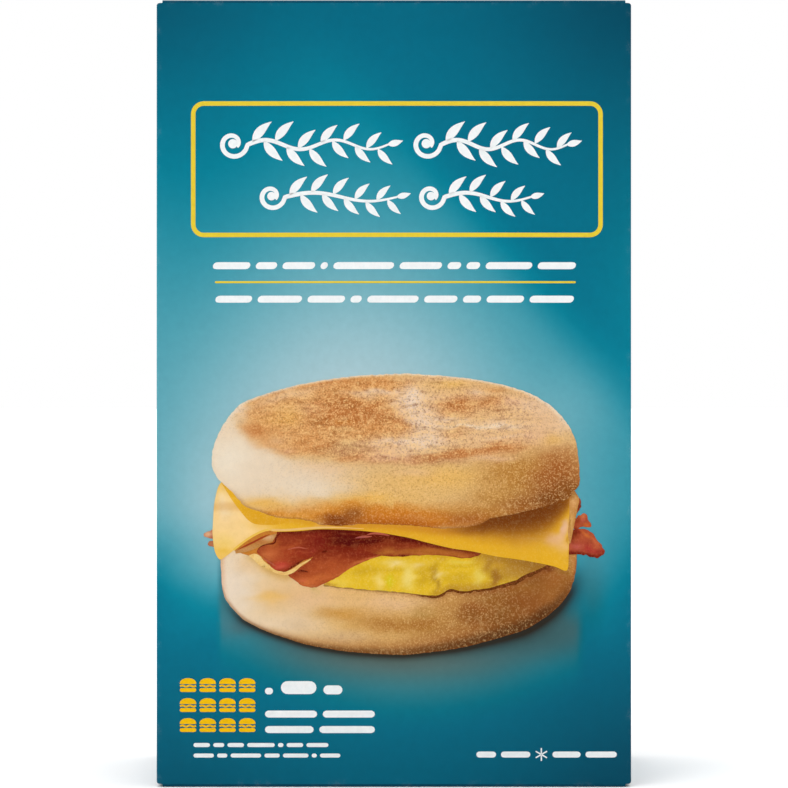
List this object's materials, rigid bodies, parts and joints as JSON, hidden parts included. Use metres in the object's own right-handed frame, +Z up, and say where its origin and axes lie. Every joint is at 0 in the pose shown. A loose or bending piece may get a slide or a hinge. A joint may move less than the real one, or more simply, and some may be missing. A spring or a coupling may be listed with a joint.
{
  "type": "breakfast sandwich carton",
  "caption": "Upright shut folding carton for wrapped frozen breakfast sandwiches, with crowned panels, lapped end flaps and a glued back corner seam.",
  "frame": {"origin": "bottom centre of the bounding box, on the surface that the carton stands on", "axes": "+X to the right across the front panel, +Y from the front panel to the back panel, +Z up"},
  "size_m": [0.191, 0.1084, 0.315],
  "materials": {
    "printed_board": "semi-gloss printed paperboard"
  },
  "bodies": {
    "root": {"carton": "printed_board"}
  },
  "joints": []
}
